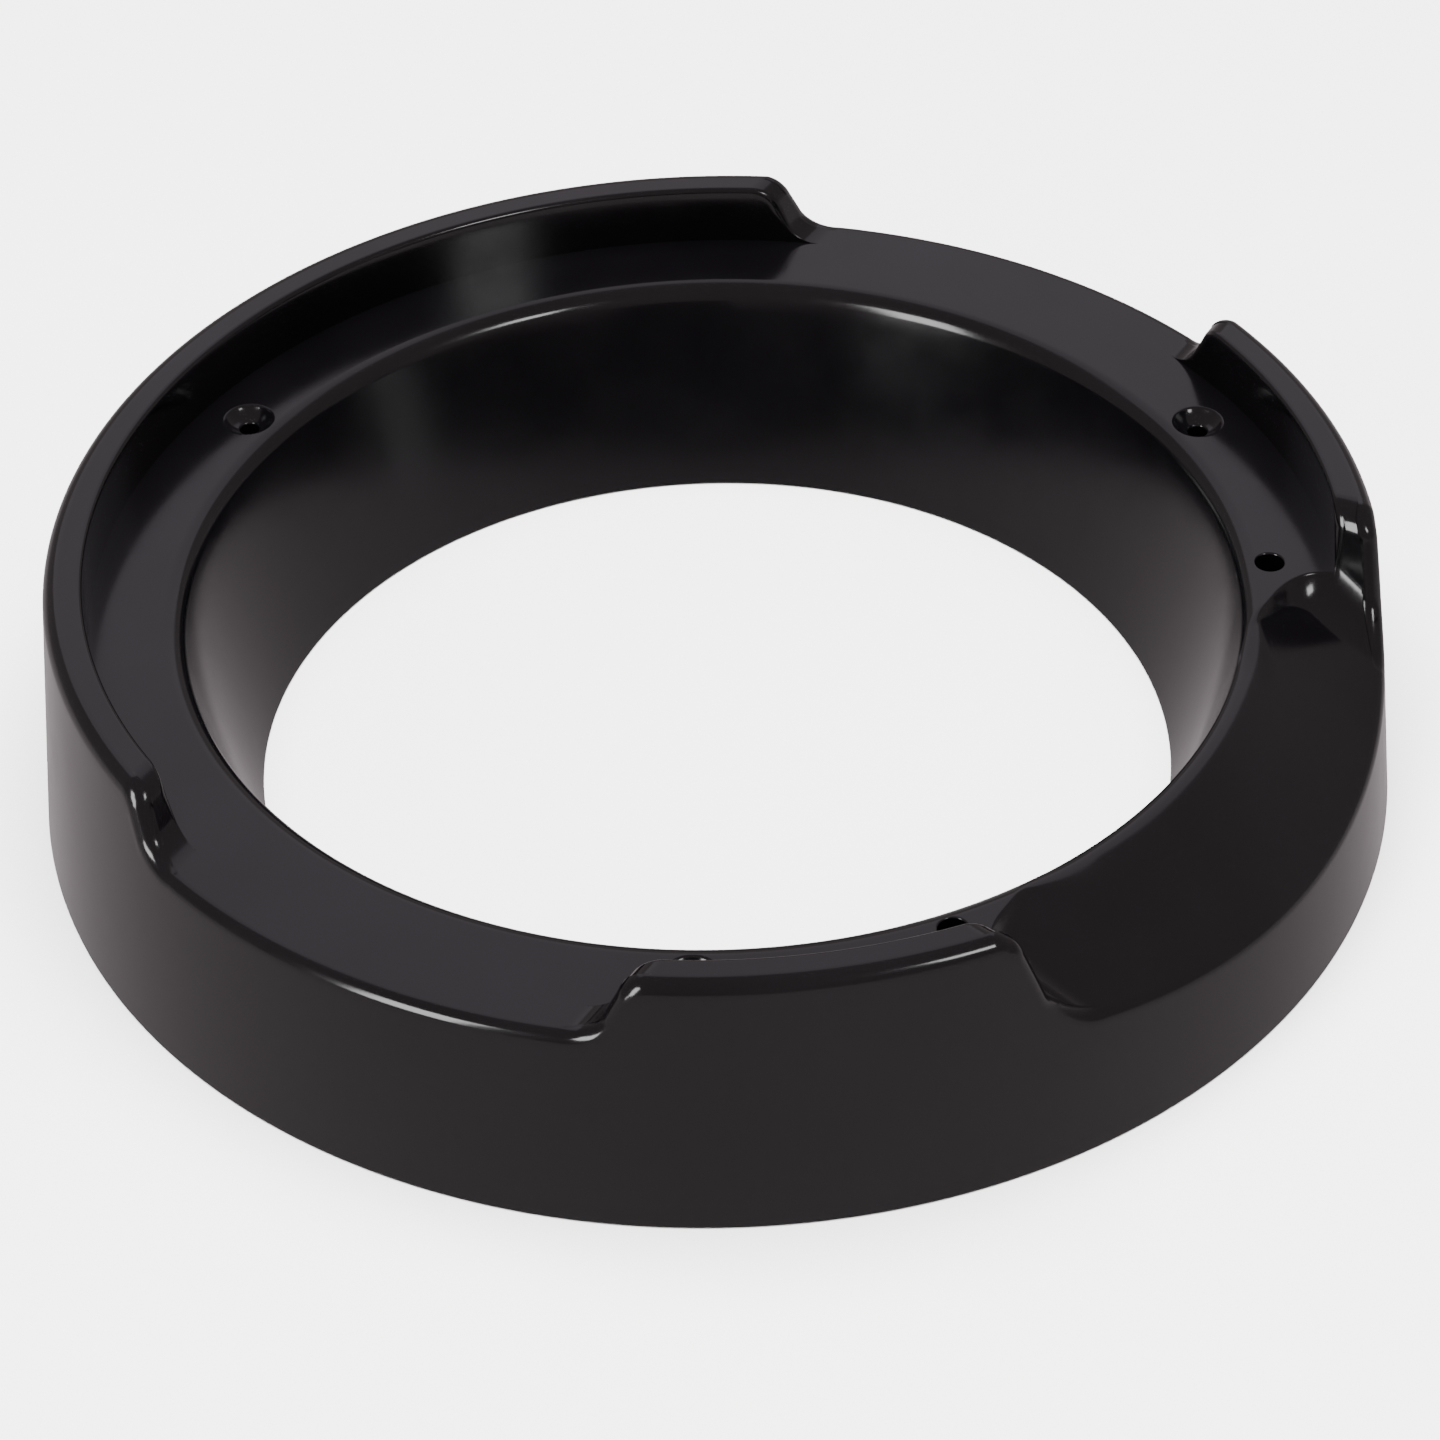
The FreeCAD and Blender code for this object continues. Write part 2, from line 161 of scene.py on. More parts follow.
def scoop_surface(x, y):
    """Height of the scoop's floor and walls, joined by their rounding."""
    floor, slope = scoop_floor(x, y)
    wall, steep, share = scoop_wall(x, y)
    wide, tight = SCOOP_FOOT_ROUND
    foot_round = wide + (tight - wide) * ease(np.hypot(x, y), 124, 150)
    return blend(floor, wall, slope, steep, foot_round * (1 - share) + share, lower=False)


def scooped(x, y, top):
    """A surface at height top, cut by the scoop with all its roundings."""
    hollow = scoop_surface(x, y)
    step = 0.1
    rise_x = (scoop_surface(x + step, y) - scoop_surface(x - step, y)) / (2 * step)
    rise_y = (scoop_surface(x, y + step) - scoop_surface(x, y - step)) / (2 * step)
    lean = np.hypot(rise_x, rise_y)
    radius = RIDGE_ROUND + (CORNER_ROUND - RIDGE_ROUND) * ease(np.abs(x), RIDGE_SOFT, RIDGE_CRISP)
    radius = np.where(top > DECK + 1, SCOOP_TOP_ROUND, radius)
    cut = blend(top, hollow, 0.0, lean, radius)
    return np.where((y < -60) & (hollow < top + 40), np.minimum(cut, top), top)


def gap_shape():
    """Slope and angle of a lip's leaning end, and how far its foot and top roundings reach."""
    slope = (LIP_TOP - DECK) / (GAP_TOP - GAP_FOOT)
    turn = math.atan(slope)
    return slope, turn, GAP_FOOT_ROUND * math.tan(turn / 2), GAP_TOP_ROUND * math.tan(turn / 2)


def gap_section(y):
    """Height of the lips' leaning ends, along a line across a side gap."""
    side = np.abs(y)
    slope, turn, foot, top = gap_shape()
    ramp = DECK + (side - GAP_FOOT) * slope
    into = np.clip(side - (GAP_FOOT - foot), 0, GAP_FOOT_ROUND)
    low = DECK + GAP_FOOT_ROUND - np.sqrt(GAP_FOOT_ROUND ** 2 - into ** 2)
    back = np.clip((GAP_TOP + top) - side, 0, GAP_TOP_ROUND)
    high = LIP_TOP - GAP_TOP_ROUND + np.sqrt(GAP_TOP_ROUND ** 2 - back ** 2)
    z = np.where(side < GAP_FOOT + foot * math.cos(turn), low, ramp)
    z = np.where(side > GAP_TOP - top * math.cos(turn), high, z)
    return z


# ---------------------------------------------------------------- the columns of the ring's mesh
# Half the ring, from the middle of the scoop (-Y) round through +X to +Y. A column is a line from
# the throat to the outer wall. It follows x = const by the scoop, y = const by a lip's leaning end.
class Columns:
    def __init__(self):
        self.guide_a, self.guide_b, self.mix = [], [], []

    def run(self, a, b, count, last=False):
        """Columns that turn evenly from one guide line to another."""
        for step in range(count + last):
            self.guide_a.append(a)
            self.guide_b.append(b)
            self.mix.append(step / count)


def guide_angle(guide, r):
    """Angle from -Y, towards +X, at which a guide line crosses radius r."""
    word, value = guide
    if word == "x":
        return np.arcsin(np.clip(value / r, -1, 1))
    if word == "y":
        return np.arccos(np.clip(-value / r, -1, 1))
    return np.full_like(r, value)


def build_columns():
    columns = Columns()
    lines = [("x", 0.0), ("x", 45.0), ("x", 60.0), ("x", 72.0), ("x", 84.5), ("x", 87.5)]
    for (start, end), count in zip(zip(lines, lines[1:]), (40, 34, 54, 90, 8)):
        columns.run(start, end, count)
    _, turn, foot, top = gap_shape()
    stops = [GAP_TOP + top, GAP_TOP - top * math.cos(turn), GAP_FOOT + foot * math.cos(turn)]
    stops.append(GAP_FOOT - foot)
    columns.run(lines[-1], ("y", -stops[0]), 80)
    for (start, end), count in zip(zip(stops, stops[1:]), (12, 10, 12)):
        columns.run(("y", -start), ("y", -end), count)
    columns.run(("y", -stops[-1]), ("y", stops[-1]), 80)
    back = stops[::-1]
    for (start, end), count in zip(zip(back, back[1:]), (12, 10, 12)):
        columns.run(("y", start), ("y", end), count)
    columns.run(("y", stops[0]), ("turn", math.pi), 220, last=True)
    return columns


COLUMNS = build_columns()
MIX = np.array(COLUMNS.mix)
COUNT = len(MIX)
ONES = np.ones(COUNT)
THROAT_TURN = math.pi / 2 - math.atan(THROAT_LEAN)         # of the throat's rounding
THROAT_REACH = THROAT_ROUND * math.tan(THROAT_TURN / 2)    # of that rounding, along the deck


def column_angles(r):
    """Angle of every column, from -Y towards +X, at one radius for each."""
    a = np.array([guide_angle(guide, np.array(value)) for guide, value in zip(COLUMNS.guide_a, r)])
    b = np.array([guide_angle(guide, np.array(value)) for guide, value in zip(COLUMNS.guide_b, r)])
    return a + (b - a) * MIX


def lip_height(x, y):
    """Height of the top surface outside the lips' inner wall."""
    return scooped(x, y, np.where(np.abs(y) < 70, gap_section(y), LIP_TOP))


def lip_surface(r):
    """x, y, z of the top surface outside the lips' inner wall, at one radius for each column."""
    angle = column_angles(r)
    x, y = r * np.sin(angle), -r * np.cos(angle)
    return np.stack([x, y, lip_height(x, y)], axis=1)


def unit(v):
    return v / np.maximum(np.linalg.norm(v, axis=1, keepdims=True), 1e-12)


def surface_normal(points):
    """Upward normal of the lips' top surface."""
    x, y = points[:, 0], points[:, 1]
    step = 0.05
    dx = (lip_height(x + step, y) - lip_height(x - step, y)) / (2 * step)
    dy = (lip_height(x, y + step) - lip_height(x, y - step)) / (2 * step)
    return unit(np.stack([-dx, -dy, np.ones_like(x)], axis=1))


def round_rows(corner, first, second, radius, count, most):
    """Rows of an arc that joins two faces meeting at a corner with these outward normals."""
    cosine = np.clip(np.sum(first * second, axis=1, keepdims=True), -0.9, 0.999999)
    turn = np.arccos(cosine)
    radius = np.minimum(radius, most / np.tan(turn / 2))
    reach = radius * np.tan(turn / 2)
    inward = -unit(second - cosine * first)
    centre = corner + inward * reach - first * radius
    rows = []
    for step in np.linspace(0, 1, count):
        outward = (np.sin((1 - step) * turn) * first + np.sin(step * turn) * second) / np.sin(turn)
        rows.append(centre + outward * radius)
    return rows


def cylinder_point(angle, r, z):
    return np.stack([r * np.sin(angle), -r * np.cos(angle), z], axis=1)


def angle_of(points):
    return np.arctan2(points[:, 0], -points[:, 1])


def spread(values, width):
    """Smooths the columns' angles, so that columns which meet at an edge fan out below it."""
    padded = np.concatenate([-values[width:0:-1], values, 2 * math.pi - values[-2:-width - 2:-1]])
    kernel = np.hanning(2 * width + 1)
    return np.convolve(padded, kernel / kernel.sum(), mode="valid")


def throat_rows(even, foot_angle):
    """The throat, from its base up to its rounding. The columns fan in to where the deck needs them."""
    start_z = DECK - THROAT_REACH * math.cos(math.atan(THROAT_LEAN))
    rows = []
    for z in np.linspace(0, start_z, 15)[:-1]:
        share = (z / start_z) ** 2
        r = THROAT_R + THROAT_LEAN * z
        rows.append(cylinder_point(even + (foot_angle - even) * share, r * ONES, z * ONES))
    return rows


def deck_rows(foot_angle, deck_foot):
    """The throat's rounding and the deck, out to the foot of the lips."""
    flat_r = THROAT_R + THROAT_LEAN * DECK + THROAT_REACH
    path = []
    for angle in np.linspace(0, THROAT_TURN, 15)[:-1]:
        back = THROAT_TURN - angle
        r, z = flat_r - THROAT_ROUND * math.sin(back), DECK - THROAT_ROUND * (1 - math.cos(back))
        path.append((r, z))
    path += [(r, DECK) for r in np.linspace(flat_r, LIP_IN, 61)]
    rows = []
    for r, z in path:
        p = cylinder_point(foot_angle, r * ONES, z * ONES)
        if r > flat_r - THROAT_ROUND * 0.8:
            p[:, 2] = scooped(p[:, 0], p[:, 1], p[:, 2])
        rows.append(p)
    rows[-1][:, 2] = deck_foot
    return rows


def crest_rows(foot, foot_angle, rise):
    """The rounding between the lips' inner wall and their top, which fades where there is no lip."""
    top_normal = surface_normal(cylinder_point(foot_angle, (LIP_IN + 0.3) * ONES, 0 * ONES))
    inner_normal = np.stack([-np.sin(foot_angle), np.cos(foot_angle), 0 * ONES], axis=1)
    leaning = np.clip((1 - top_normal[:, 2]) / 0.7, 0, 1)
    crest = (CREST_ROUND + CREST_END_EXTRA * leaning) * np.clip(rise / 8, 0, 1)
    crest = np.minimum(crest, rise * 0.3)[:, None] + 1e-5
    return round_rows(foot, top_normal, inner_normal, crest, 8, CREST_MOST)[::-1]


def inner_wall_rows(low, high):
    """The lips' inner wall, between the last row of the deck and the first of the crest."""
    rows = []
    for step in np.linspace(0, 1, 10)[1:-1]:
        mid = low + (high - low) * step
        rows.append(cylinder_point(angle_of(mid), LIP_IN * ONES, mid[:, 2]))
    return rows


def outer_edge_rows():
    """The rounding between the top surface and the outer wall."""
    edge_r = 149.0 * ONES
    for _ in range(30):
        edge_r = 0.3 * edge_r + 0.7 * wall_radius(lip_surface(edge_r)[:, 2])
    edge = lip_surface(edge_r)
    edge_angle = angle_of(edge)
    wall_normal = unit(np.stack([np.sin(edge_angle), -np.cos(edge_angle), LEAN * ONES], axis=1))
    height = np.clip((edge[:, 2] - DECK) / (LIP_TOP - DECK), 0, 1)
    radius = EDGE_ROUND + (LIP_ROUND - EDGE_ROUND) * height
    return round_rows(edge, surface_normal(edge), wall_normal, radius[:, None], 14, EDGE_MOST)


def top_rows(start, end):
    """The lips' tops and the scoop's floor, between the crest and the outer edge."""
    start_r, end_r = np.hypot(start[:, 0], start[:, 1]), np.hypot(end[:, 0], end[:, 1])
    start_bend = angle_of(start) - column_angles(start_r)
    end_bend = angle_of(end) - column_angles(end_r)
    rows = []
    for step in np.linspace(0, 1, 28)[1:-1]:
        r = start_r + (end_r - start_r) * step
        angle = column_angles(r) + start_bend * (1 - step) + end_bend * step
        x, y = r * np.sin(angle), -r * np.cos(angle)
        rows.append(np.stack([x, y, lip_height(x, y)], axis=1))
    return rows


def skirt_rows(top, base_angle):
    """The outer wall, from its rounded upper edge down to the base."""
    top_angle = angle_of(top)
    rows = []
    for step in np.linspace(0, 1, 26)[1:]:
        angle = top_angle + (base_angle - top_angle) * step ** 0.8
        z = top[:, 2] * (1 - step)
        rows.append(cylinder_point(angle, wall_radius(z), z))
    return rows


def underside_rows(base_angle, even):
    """The hollow underside: the skirt's inside, the ceiling under the deck and the throat's outside."""
    inner = BASE_R - SHELL
    foot_in = THROAT_R + SHELL
    r_start = inner - LEAN * 38
    r_end = foot_in + THROAT_LEAN * (DECK - DECK_SHELL)
    ceiling = []
    for step in np.linspace(0, 1, 15):
        r = r_start + (r_end - r_start) * step
        p = cylinder_point(base_angle + (even - base_angle) * step, r * ONES, ONES)
        p[:, 2] = scooped(p[:, 0], p[:, 1], DECK * ONES) - DECK_SHELL
        ceiling.append(p)
    rows = [cylinder_point(base_angle, inner * ONES, 0 * ONES)]
    for part in (0.33, 0.66):
        z = ceiling[0][:, 2] * part
        rows.append(cylinder_point(base_angle, inner - LEAN * z, z))
    rows += ceiling
    for part in (0.66, 0.33, 0.0):
        z = ceiling[-1][:, 2] * part
        rows.append(cylinder_point(even, foot_in + THROAT_LEAN * z, z))
    return rows


def build_rows():
    """All the rows of the ring's mesh, up the throat, out over the top and back underneath."""
    foot = lip_surface(LIP_IN * ONES)
    foot_angle = angle_of(foot)
    deck_foot = scooped(foot[:, 0], foot[:, 1], DECK * ONES)
    even = foot_angle * 0.25 + 0.75 * spread(foot_angle, 60)
    rows = throat_rows(even, foot_angle) + deck_rows(foot_angle, deck_foot)
    crest = crest_rows(foot, foot_angle, np.clip(foot[:, 2] - deck_foot, 0, None))
    edge = outer_edge_rows()
    rows += inner_wall_rows(rows[-1], crest[0]) + crest + top_rows(crest[-1], edge[0]) + edge
    top_angle = angle_of(edge[-1])
    base_angle = top_angle * 0.15 + 0.85 * spread(top_angle, 50)
    return rows + skirt_rows(edge[-1], base_angle) + underside_rows(base_angle, even)


def ring_mesh():
    rows = build_rows()
    points = np.array(rows)                       # rows, columns, xyz
    points[:, :, 2] = np.clip(points[:, :, 2], 0, LIP_TOP)
    points[:, 0, 0] = 0
    points[:, -1, 0] = 0
    mirrored = points[:, -2:0:-1] * [-1, 1, 1]
    points = np.concatenate([points, mirrored], axis=1)
    away = np.degrees(np.abs(np.arctan2(points[:, :, 0], -points[:, :, 1])))
    turn = np.radians(GAP_TURN) * np.clip((away - GAP_TURN_FROM) / GAP_TURN_OVER, 0, 1)
    x, y = points[:, :, 0].copy(), points[:, :, 1].copy()
    points[:, :, 0] = x * np.cos(turn) - y * np.sin(turn)
    points[:, :, 1] = x * np.sin(turn) + y * np.cos(turn)
    row_count, column_count = points.shape[:2]
    vertices = points.reshape(-1, 3) / 1000
    i = np.arange(row_count)[:, None]
    j = np.arange(column_count)[None, :]
    here = i * column_count + j
    right = i * column_count + (j + 1) % column_count
    up = (i + 1) % row_count * column_count + j
    up_right = (i + 1) % row_count * column_count + (j + 1) % column_count
    faces = np.stack([here, right, up_right, up], axis=2).reshape(-1, 4)
    mesh = bpy.data.meshes.new("flange_shell")
    mesh.from_pydata(vertices.tolist(), [], faces.tolist())
    work = bmesh.new()
    work.from_mesh(mesh)
    bmesh.ops.remove_doubles(work, verts=work.verts, dist=4e-6)
    bmesh.ops.dissolve_degenerate(work, edges=work.edges, dist=2e-6)
    bmesh.ops.recalc_face_normals(work, faces=work.faces)
    work.to_mesh(mesh)
    work.free()
    mesh.update()
    return mesh


def add_object(name, mesh, material):
    thing = bpy.data.objects.new(name, mesh)
    bpy.context.collection.objects.link(thing)
    mesh.materials.clear()
    mesh.materials.append(material)
    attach(thing, root)
    return thing


def turned_mesh(name, profile, centre, segments=96, closed=True):
    """A solid of revolution about an upright axis, from (radius, height) points in millimetres."""
    work = bmesh.new()
    rings = []
    for radius, height in profile:
        if radius < 1e-6:
            rings.append([work.verts.new((centre[0] / 1000, centre[1] / 1000, height / 1000))])
            continue
        ring = []
        for step in range(segments):
            turn = 2 * math.pi * step / segments
            x = centre[0] + radius * math.cos(turn)
            y = centre[1] + radius * math.sin(turn)
            ring.append(work.verts.new((x / 1000, y / 1000, height / 1000)))
        rings.append(ring)
    pairs = list(zip(rings, rings[1:]))
    if closed:
        pairs.append((rings[-1], rings[0]))
    for first, second in pairs:
        for step in range(segments):
            after = (step + 1) % segments
            corners = [first[step % len(first)], first[after % len(first)]]
            corners += [second[after % len(second)], second[step % len(second)]]
            unique = list(dict.fromkeys(corners))
            if len(unique) > 2:
                work.faces.new(unique)
    bmesh.ops.recalc_face_normals(work, faces=work.faces)
    mesh = bpy.data.meshes.new(name)
    work.to_mesh(mesh)
    work.free()
    return mesh


def dish_profile():
    """Half section of the space a screw and its dish take, rounded over where it meets the deck."""
    sphere = (SCREW_DISH ** 2 + SCREW_DISH_DEPTH ** 2) / (2 * SCREW_DISH_DEPTH)
    centre = DECK - SCREW_DISH_DEPTH + sphere
    profile = [(0, -5), (SCREW_HOLE, -5)]
    start = math.asin((SCREW_HOLE + 0.3) / sphere)
    profile.append((SCREW_HOLE, centre - sphere * math.cos(start) - 0.3))
    end = math.asin(SCREW_DISH / sphere) - 0.09
    for step in range(17):
        turn = start + (end - start) * step / 16
        profile.append((sphere * math.sin(turn), centre - sphere * math.cos(turn)))
    rim_r, rim_z = profile[-1]
    soft = 1.0                                   # rounding of the rim
    for step in range(1, 8):
        turn = end * (1 - step / 8)
        r = rim_r + soft * (math.sin(end) - math.sin(turn))
        z = rim_z + soft * (math.cos(turn) - math.cos(end))
        profile.append((r, z))
    last_r, last_z = profile[-1]
    shift = DECK + 0.004 - last_z
    moved = profile[:3] + [(r, z + shift) for r, z in profile[3:]]
    return moved + [(last_r, DECK + 6), (0, DECK + 6)]


def bolt_profile():
    """Half section of the space of a bolt hole, with a slightly broken edge at the deck."""
    soft = 0.45                                  # rounding of the edge
    profile = [(0, -5), (BOLT_HOLE, -5), (BOLT_HOLE, DECK - soft)]
    for step in range(1, 6):
        turn = math.pi / 2 * step / 6
        profile.append((BOLT_HOLE + soft * (1 - math.cos(turn)), DECK - soft + soft * math.sin(turn)))
    profile.append((BOLT_HOLE + soft, DECK + 0.01))
    return profile + [(BOLT_HOLE + soft, DECK + 6), (0, DECK + 6)]


def cut_hole(thing, profile, centre, segments):
    """Cuts a turned shape out of an object's mesh."""
    tool = bpy.data.objects.new("cutter", turned_mesh("cutter", profile, centre, segments, closed=False))
    bpy.context.collection.objects.link(tool)
    tool.data.shade_smooth()
    cut = thing.modifiers.new("cut", "BOOLEAN")
    cut.operation = "DIFFERENCE"
    cut.solver = "EXACT"
    cut.object = tool
    bpy.context.view_layer.update()
    result = bpy.data.meshes.new_from_object(thing.evaluated_get(bpy.context.evaluated_depsgraph_get()))
    thing.modifiers.clear()
    thing.data = result
    tool_mesh = tool.data
    bpy.data.objects.remove(tool)
    bpy.data.meshes.remove(tool_mesh)


def web_mesh():
    """The flat webs that stand between the skirt and the throat."""
    work = bmesh.new()
    for number in range(WEB_COUNT):
        turn = 2 * math.pi * number / WEB_COUNT
        out = Vector((math.cos(turn), math.sin(turn)))
        aside = Vector((-out.y, out.x)) * WEB_WIDTH / 2
        low_in = THROAT_R + SHELL * 0.6 + THROAT_LEAN * WEB_FOOT
        low_out = wall_radius(WEB_FOOT) - SHELL * 0.6
        ceiling = []
        for r in np.linspace(low_out - 1.5, THROAT_R + SHELL * 0.6 + THROAT_LEAN * 43, 14):
            x, y = np.array([r * out.x]), np.array([r * out.y])
            ceiling.append((float(r), float(scooped(x, y, DECK * np.ones(1))[0]) - DECK_SHELL * 0.7))
        outline = [(low_in, WEB_FOOT), (low_out, WEB_FOOT)] + ceiling
        sheets = []
        for shift in (aside, -aside):
            flat = [out * r + shift for r, _ in outline]
            spots = [(p.x / 1000, p.y / 1000, z / 1000) for p, (_, z) in zip(flat, outline)]
            sheets.append([work.verts.new(spot) for spot in spots])
        for sheet in sheets:
            work.faces.new(sheet)
        count = len(outline)
        for step in range(count):
            after = (step + 1) % count
            work.faces.new((sheets[0][step], sheets[0][after], sheets[1][after], sheets[1][step]))
    bmesh.ops.recalc_face_normals(work, faces=work.faces)
    mesh = bpy.data.meshes.new("webs")
    work.to_mesh(mesh)
    work.free()
    return mesh


def smooth(thing, angle=40):
    """Smooth shading, kept sharp at the creases."""
    mesh = thing.data
    mesh.shade_smooth()
    mesh.set_sharp_from_angle(angle=math.radians(angle))


# ---------------------------------------------------------------- materials
def new_material(name):
    material = bpy.data.materials.new(name)
    material.use_nodes = True
    tree = material.node_tree
    return material, tree, tree.nodes["Principled BSDF"]


def noise(tree, scale, detail=4.0, roughness=0.55, stretch=None):
    """A noise texture in the object's own coordinates, stretched if asked."""
    node = tree.nodes.new("ShaderNodeTexNoise")
    node.inputs["Scale"].default_value = scale
    node.inputs["Detail"].default_value = detail
    node.inputs["Roughness"].default_value = roughness
    place = tree.nodes.new("ShaderNodeTexCoord")
    source = place.outputs["Object"]
    if stretch is not None:
        mapping = tree.nodes.new("ShaderNodeMapping")
        mapping.inputs["Scale"].default_value = stretch
        mapping.inputs["Rotation"].default_value = (0.3, 0.2, 0.7)
        tree.links.new(source, mapping.inputs["Vector"])
        source = mapping.outputs["Vector"]
    tree.links.new(source, node.inputs["Vector"])
    return node.outputs["Fac"]


def ramp(tree, source, low, high, colours):
    node = tree.nodes.new("ShaderNodeValToRGB")
    node.color_ramp.elements[0].position = low
    node.color_ramp.elements[1].position = high
    node.color_ramp.elements[0].color = colours[0]
    node.color_ramp.elements[1].color = colours[1]
    tree.links.new(source, node.inputs["Fac"])
    return node.outputs["Color"]


def span(tree, source, low, high, to_low, to_high):
    node = tree.nodes.new("ShaderNodeMapRange")
    node.inputs["From Min"].default_value = low
    node.inputs["From Max"].default_value = high
    node.inputs["To Min"].default_value = to_low
    node.inputs["To Max"].default_value = to_high
    tree.links.new(source, node.inputs["Value"])
    return node.outputs["Result"]


def add_bump(tree, shader, source, distance, strength=1.0, base=None):
    node = tree.nodes.new("ShaderNodeBump")
    node.inputs["Distance"].default_value = distance
    node.inputs["Strength"].default_value = strength
    tree.links.new(source, node.inputs["Height"])
    if base is not None:
        tree.links.new(base, node.inputs["Normal"])
    tree.links.new(node.outputs["Normal"], shader.inputs["Normal"])
    return node.outputs["Normal"]


def black_plastic():
    material, tree, shader = new_material("black_plastic")
    cloud = noise(tree, 22, 3, 0.5)
    shade = ramp(tree, cloud, 0.3, 0.75, [(0.0008, 0.0007, 0.0009, 1), (0.0014, 0.0012, 0.0016, 1)])
    tree.links.new(shade, shader.inputs["Base Color"])
    handling = noise(tree, 60, 6, 0.6)
    tree.links.new(span(tree, handling, 0.35, 0.75, 0.13, 0.2), shader.inputs["Roughness"])
    shader.inputs["IOR"].default_value = 1.52
    waves = noise(tree, 14, 2, 0.4)
    normal = add_bump(tree, shader, waves, 0.00012)
    fine = noise(tree, 900, 2, 0.5)
    add_bump(tree, shader, fine, 0.000004, base=normal)
    return material


def rubber():
    material, tree, shader = new_material("gasket_rubber")
    cloud = noise(tree, 300, 5, 0.6)
    shade = ramp(tree, cloud, 0.3, 0.7, [(0.014, 0.014, 0.014, 1), (0.035, 0.034, 0.033, 1)])
    tree.links.new(shade, shader.inputs["Base Color"])
    shader.inputs["Roughness"].default_value = 0.85
    add_bump(tree, shader, noise(tree, 900, 4, 0.6), 0.0002)
    return material


def brass():
    material, tree, shader = new_material("insert_brass")
    lines = noise(tree, 60, 3, 0.6, stretch=(1, 1, 60))
    shade = ramp(tree, lines, 0.3, 0.7, [(0.55, 0.38, 0.13, 1), (0.72, 0.54, 0.24, 1)])
    tree.links.new(shade, shader.inputs["Base Color"])
    tree.links.new(span(tree, lines, 0.3, 0.7, 0.22, 0.4), shader.inputs["Roughness"])
    shader.inputs["Metallic"].default_value = 1.0
    add_bump(tree, shader, lines, 0.00005)
    return material


def pale_floor():
    material, tree, shader = new_material("pale_floor")
    cloud = noise(tree, 3, 2, 0.5)
    shade = ramp(tree, cloud, 0.3, 0.7, [(0.86, 0.86, 0.86, 1), (0.88, 0.88, 0.88, 1)])
    tree.links.new(shade, shader.inputs["Base Color"])
    shader.inputs["Roughness"].default_value = 0.6
    return material


PLASTIC = black_plastic()

# ---------------------------------------------------------------- the moulding
shell = add_object("flange_shell", ring_mesh(), PLASTIC)
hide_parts("flange_body")
SCREW_SPOTS = []
for number in range(3):
    around = math.pi / 2 + 2 * math.pi * number / 3
    SCREW_SPOTS.append((SCREW_CIRCLE * math.cos(around), SCREW_CIRCLE * math.sin(around)))
BOLT_SPOTS = [(-BOLT_SPOT[0], BOLT_SPOT[1]), BOLT_SPOT]
for spot in SCREW_SPOTS:
    cut_hole(shell, dish_profile(), spot, 96)
for spot in BOLT_SPOTS:
    cut_hole(shell, bolt_profile(), spot, 64)
smooth(shell, 38)

under_deck = DECK - DECK_SHELL * 0.9
for number, spot in enumerate(SCREW_SPOTS):
    tube = [(SCREW_BOSS, 0), (SCREW_BOSS, under_deck), (SCREW_HOLE, under_deck), (SCREW_HOLE, 0)]
    mesh = turned_mesh("screw_boss", tube, spot)
    boss = add_object("screw_boss_%d" % number, mesh, PLASTIC)
    smooth(boss, 38)
for number, spot in enumerate(BOLT_SPOTS):
    tube = [(BOLT_BOSS, BOLT_BOSS_FOOT), (BOLT_BOSS, under_deck), (BOLT_HOLE, under_deck)]
    tube += [(BOLT_HOLE, INSERT_TOP), (INSERT_R, INSERT_TOP), (INSERT_R, BOLT_BOSS_FOOT)]
    mesh = turned_mesh("bolt_boss", tube, spot)
    boss = add_object("bolt_boss_%d" % number, mesh, PLASTIC)
    smooth(boss, 38)
add_object("webs", web_mesh(), PLASTIC)

for material, node in ((rubber(), "base_gasket"), (brass(), "bolt_inserts")):
    for place in frame["nodes"][node].material_slots:
        place.material = material

# ---------------------------------------------------------------- floor, light and camera
floor_mesh = bpy.data.meshes.new("floor")
half = 6.0
corners = [(-half, -half, 0), (half, -half, 0), (half, half, 0), (-half, half, 0)]
floor_mesh.from_pydata(corners, [], [(0, 1, 2, 3)])
floor = bpy.data.objects.new("floor", floor_mesh)
bpy.context.collection.objects.link(floor)
floor.location.z = -0.0004
floor_mesh.materials.append(pale_floor())

VIEW_TURN = math.radians(57.2)      # from the direction the camera looks along to the scoop


def studio(azimuth, elevation, distance):
    """A spot round the object. Azimuth 0 is the camera's right, 90 is behind the object."""
    turn = math.radians(azimuth) - VIEW_TURN
    level = math.cos(math.radians(elevation)) * distance
    height = math.sin(math.radians(elevation)) * distance
    return Vector((level * math.cos(turn), level * math.sin(turn), height))


def softbox(name, azimuth, elevation, distance, width, height, radiance, colour=(1, 1, 1)):
    """A rectangular light facing the object, as bright as a white card of that radiance."""
    light = bpy.data.lights.new(name, "AREA")
    light.shape = "RECTANGLE"
    light.size = width
    light.size_y = height
    light.energy = radiance * math.pi * width * height
    light.color = colour
    thing = bpy.data.objects.new(name, light)
    bpy.context.collection.objects.link(thing)
    thing.location = studio(azimuth, elevation, distance)
    back = thing.location.normalized()
    side = Vector((0, 0, 1)).cross(back).normalized()
    thing.rotation_euler = Matrix((side, back.cross(side), back)).transposed().to_euler()
    return thing


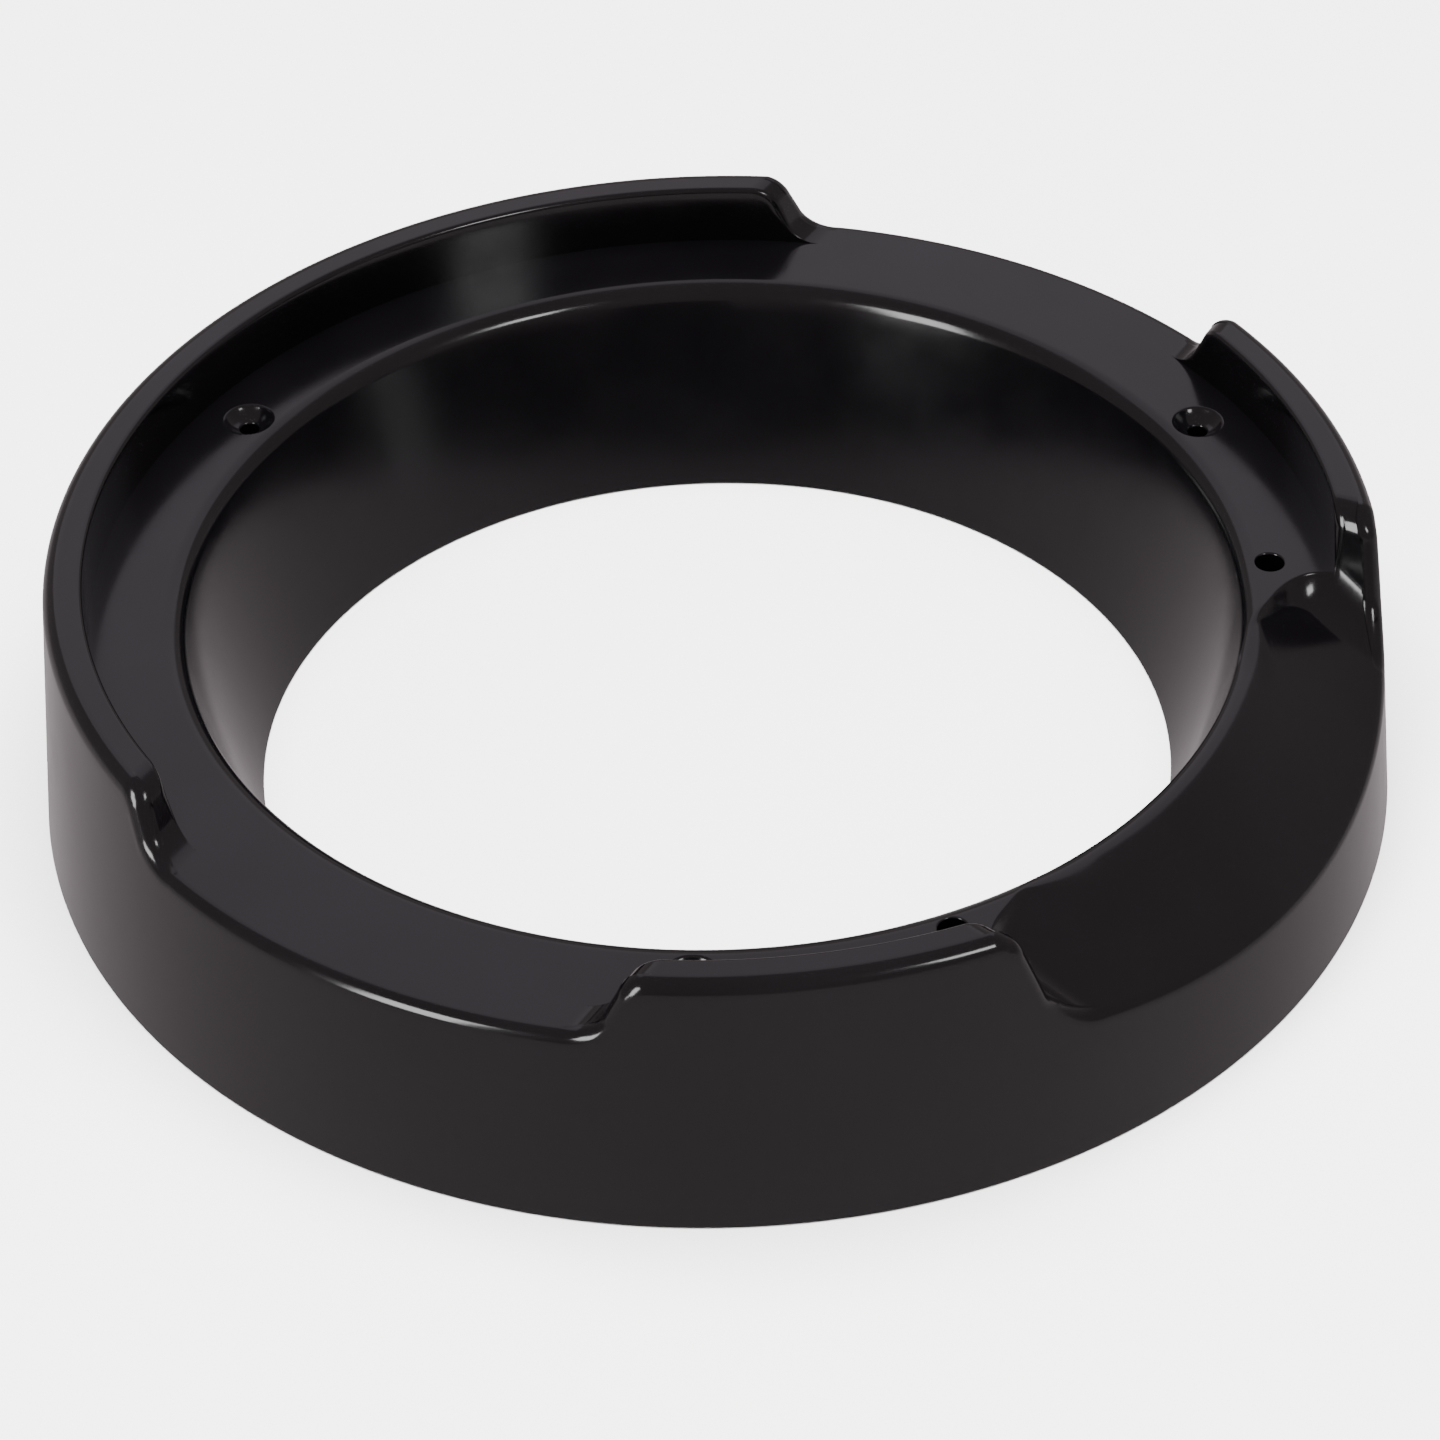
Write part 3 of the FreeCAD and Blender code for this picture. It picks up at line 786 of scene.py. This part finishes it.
# The room: dim and slightly warm, with a paler lower half that stands in for the table's sheen.
world = bpy.data.worlds.new("studio")
world.use_nodes = True
room = world.node_tree
direction = room.nodes.new("ShaderNodeTexCoord")
split = room.nodes.new("ShaderNodeSeparateXYZ")
room.links.new(direction.outputs["Generated"], split.inputs["Vector"])
tone = ramp(room, span(room, split.outputs["Z"], -0.12, 0.05, 0.0, 1.0), 0.0, 1.0,
            [(0.60, 0.538, 0.558, 1), (0.31, 0.27, 0.27, 1)])
room.links.new(tone, room.nodes["Background"].inputs["Color"])
bpy.context.scene.world = world

softbox("back_box", 90, 45, 2.6, 3.0, 1.7, 0.50, (0.91, 0.855, 1.0))
softbox("left_key", 223, 20, 2.4, 0.7, 1.4, 14.0)
softbox("right_key", 312, 38, 2.4, 0.5, 0.5, 14.0)
fill = softbox("fill", 270, 88, 3.0, 3.0, 3.0, 24.0)
fill.visible_glossy = False         # lights the table only, without a sheen on the plastic
floor.visible_glossy = False

EYE_AZIMUTH = math.radians(-147.2)
EYE_HEIGHT = 0.6934                  # radians above the horizon
EYE_DISTANCE = 1.1358
EYE_ROLL = -0.0261
eye = Vector((
    EYE_DISTANCE * math.cos(EYE_HEIGHT) * math.cos(EYE_AZIMUTH),
    EYE_DISTANCE * math.cos(EYE_HEIGHT) * math.sin(EYE_AZIMUTH),
    EYE_DISTANCE * math.sin(EYE_HEIGHT),
))
behind = eye.normalized()
side = Vector((0, 0, 1)).cross(behind).normalized()
upright = behind.cross(side)
tilt_side = side * math.cos(EYE_ROLL) + upright * math.sin(EYE_ROLL)
tilt_up = upright * math.cos(EYE_ROLL) - side * math.sin(EYE_ROLL)
lens = bpy.data.cameras.new("camera")
lens.sensor_width = 36
lens.lens = 124.1
lens.shift_x = 0.0022
lens.shift_y = 0.0229
lens.clip_end = 50
camera = bpy.data.objects.new("camera", lens)
bpy.context.collection.objects.link(camera)
turned = Matrix((tilt_side, tilt_up, behind)).transposed().to_4x4()
camera.matrix_world = Matrix.Translation(eye) @ turned
bpy.context.scene.camera = camera
